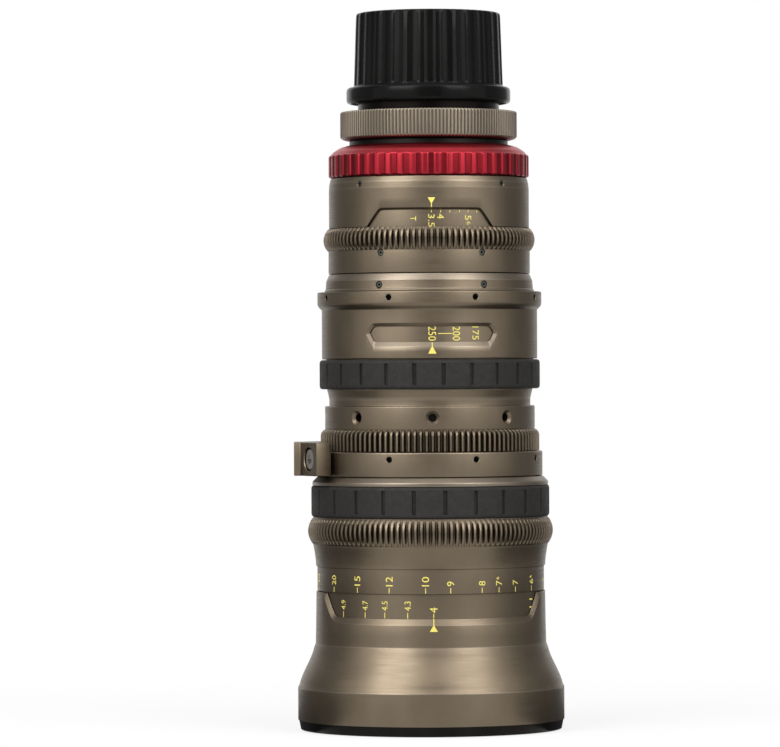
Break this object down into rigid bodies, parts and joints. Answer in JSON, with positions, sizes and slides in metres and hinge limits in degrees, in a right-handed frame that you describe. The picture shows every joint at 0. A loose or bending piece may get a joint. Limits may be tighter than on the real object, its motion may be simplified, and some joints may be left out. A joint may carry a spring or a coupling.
{
  "type": "cine zoom lens",
  "caption": "Cine zoom lens with toothed focus, zoom and iris rings, moving glass cells, an interchangeable rear group and a capped camera mount.",
  "frame": {"origin": "centre of the front standing face, on the optical axis", "axes": "+Z along the optical axis from the front glass towards the camera mount; -Y towards the index marks and scale windows; -X towards the support bracket"},
  "size_m": [0.1153, 0.114, 0.3062],
  "materials": {
    "bronze_anodised": "satin warm grey-brown anodised aluminium",
    "black_anodised": "matt black anodised aluminium",
    "red_anodised": "bright red anodised aluminium",
    "grip_rubber": "matt moulded rubber",
    "lens_glass": "coated optical glass",
    "steel": "satin stainless steel",
    "black_screw": "black oxide steel",
    "brass": "turned brass",
    "blade_steel": "blackened spring steel sheet",
    "cap_plastic": "glossy black moulded plastic"
  },
  "bodies": {
    "barrel": {"front_ring": "black_anodised", "front_bell": "bronze_anodised", "front_cell": "black_anodised", "front_element": "lens_glass", "second_element": "lens_glass", "front_retainer": "black_anodised", "focus_barrel": "black_anodised", "barrel_screws": "steel", "main_tube": "black_anodised", "guide_tube": "black_anodised", "centre_flange": "bronze_anodised", "housing_screws": "black_screw", "support_bracket": "bronze_anodised", "bracket_screws": "steel", "zoom_housing": "bronze_anodised", "rear_collar": "bronze_anodised", "rear_tube": "black_anodised", "relay_cell": "black_anodised", "relay_element": "lens_glass", "iris_base_plate": "black_anodised", "iris_housing": "bronze_anodised"},
    "focus_ring": {"focus_ring": "bronze_anodised", "focus_sleeve": "brass", "sleeve_screws": "steel", "focus_grip": "grip_rubber", "focus_lip_ring": "bronze_anodised"},
    "focus_group": {"focus_cell": "black_anodised", "focus_element_1": "lens_glass", "focus_element_2": "lens_glass", "focus_followers": "brass"},
    "zoom_ring": {"zoom_ring": "bronze_anodised", "zoom_grip": "grip_rubber", "zoom_cam_tube": "brass", "zoom_keys": "steel"},
    "variator": {"variator_cell": "black_anodised", "variator_element": "lens_glass", "variator_followers": "brass"},
    "compensator": {"compensator_cell": "black_anodised", "compensator_element": "lens_glass", "compensator_followers": "brass"},
    "iris_ring": {"iris_ring": "bronze_anodised", "iris_ring_screws": "black_screw", "iris_keys": "black_screw", "iris_drive_ring": "black_anodised"},
    "rear_group": {"rear_barrel": "black_anodised", "rear_body": "black_anodised", "rear_element_1": "lens_glass", "rear_element_2": "lens_glass", "rear_retainers": "black_anodised", "camera_mount": "steel"},
    "lock_ring": {"lock_ring": "red_anodised"},
    "back_focus_ring": {"back_focus_ring": "bronze_anodised"},
    "rear_cap": {"rear_cap": "cap_plastic"},
    "iris_blade_1": {"iris_blade_1": "blade_steel"},
    "iris_blade_2": {"iris_blade_2": "blade_steel"},
    "iris_blade_3": {"iris_blade_3": "blade_steel"},
    "iris_blade_4": {"iris_blade_4": "blade_steel"},
    "iris_blade_5": {"iris_blade_5": "blade_steel"},
    "iris_blade_6": {"iris_blade_6": "blade_steel"}
  },
  "joints": [
    {"name": "focus_ring_turn", "type": "hinge", "parent": "barrel", "child": "focus_ring", "pos_m": [0, 0, 0.085], "axis": [0, 0, 1], "range_deg": [-101, 113]},
    {"name": "focus_group_slide", "type": "slide", "parent": "barrel", "child": "focus_group", "axis": [0, 0, 1], "range_m": [-0.0068, 0.0076]},
    {"name": "zoom_ring_turn", "type": "hinge", "parent": "barrel", "child": "zoom_ring", "pos_m": [0, 0, 0.14], "axis": [0, 0, 1], "range_deg": [-120, 0]},
    {"name": "variator_slide", "type": "slide", "parent": "barrel", "child": "variator", "axis": [0, 0, 1], "range_m": [-0.0523, 0.0002]},
    {"name": "compensator_slide", "type": "slide", "parent": "barrel", "child": "compensator", "axis": [0, 0, 1], "range_m": [-0.0142, 0.0002]},
    {"name": "iris_ring_turn", "type": "hinge", "parent": "barrel", "child": "iris_ring", "pos_m": [0, 0, 0.205], "axis": [0, 0, 1], "range_deg": [-88, 0]},
    {"name": "blade_1_turn", "type": "hinge", "parent": "barrel", "child": "iris_blade_1", "pos_m": [0, -0.0326, 0.192], "axis": [0, 0, 1], "range_deg": [-0.5, 24]},
    {"name": "blade_2_turn", "type": "hinge", "parent": "barrel", "child": "iris_blade_2", "pos_m": [0.02823, -0.0163, 0.192], "axis": [0, 0, 1], "range_deg": [-0.5, 24]},
    {"name": "blade_3_turn", "type": "hinge", "parent": "barrel", "child": "iris_blade_3", "pos_m": [0.02823, 0.0163, 0.192], "axis": [0, 0, 1], "range_deg": [-0.5, 24]},
    {"name": "blade_4_turn", "type": "hinge", "parent": "barrel", "child": "iris_blade_4", "pos_m": [0, 0.0326, 0.192], "axis": [0, 0, 1], "range_deg": [-0.5, 24]},
    {"name": "blade_5_turn", "type": "hinge", "parent": "barrel", "child": "iris_blade_5", "pos_m": [-0.02823, 0.0163, 0.192], "axis": [0, 0, 1], "range_deg": [-0.5, 24]},
    {"name": "blade_6_turn", "type": "hinge", "parent": "barrel", "child": "iris_blade_6", "pos_m": [-0.02823, -0.0163, 0.192], "axis": [0, 0, 1], "range_deg": [-0.5, 24]},
    {"name": "rear_group_lift", "type": "slide", "parent": "barrel", "child": "rear_group", "axis": [0, 0, 1], "range_m": [0, 0.06]},
    {"name": "lock_ring_turn", "type": "hinge", "parent": "rear_group", "child": "lock_ring", "pos_m": [0, 0, 0.245], "axis": [0, 0, 1], "range_deg": [0, 60]},
    {"name": "back_focus_turn", "type": "hinge", "parent": "rear_group", "child": "back_focus_ring", "pos_m": [0, 0, 0.258], "axis": [0, 0, 1], "range_deg": [-30, 30]},
    {"name": "cap_lift", "type": "slide", "parent": "rear_group", "child": "rear_cap", "axis": [0, 0, 1], "range_m": [0, 0.05]}
  ],
  "couplings": [
    {"joint": "focus_group_slide", "follows": "focus_ring_turn", "m_per_rad": 0.0037483},
    {"joint": "variator_slide", "follows": "zoom_ring_turn", "m_per_rad": 0.024828},
    {"joint": "compensator_slide", "follows": "zoom_ring_turn", "m_per_rad": 0.0066845},
    {"joint": "blade_1_turn", "follows": "iris_ring_turn", "ratio": -0.26704},
    {"joint": "blade_2_turn", "follows": "iris_ring_turn", "ratio": -0.26704},
    {"joint": "blade_3_turn", "follows": "iris_ring_turn", "ratio": -0.26704},
    {"joint": "blade_4_turn", "follows": "iris_ring_turn", "ratio": -0.26704},
    {"joint": "blade_5_turn", "follows": "iris_ring_turn", "ratio": -0.26704},
    {"joint": "blade_6_turn", "follows": "iris_ring_turn", "ratio": -0.26704}
  ]
}
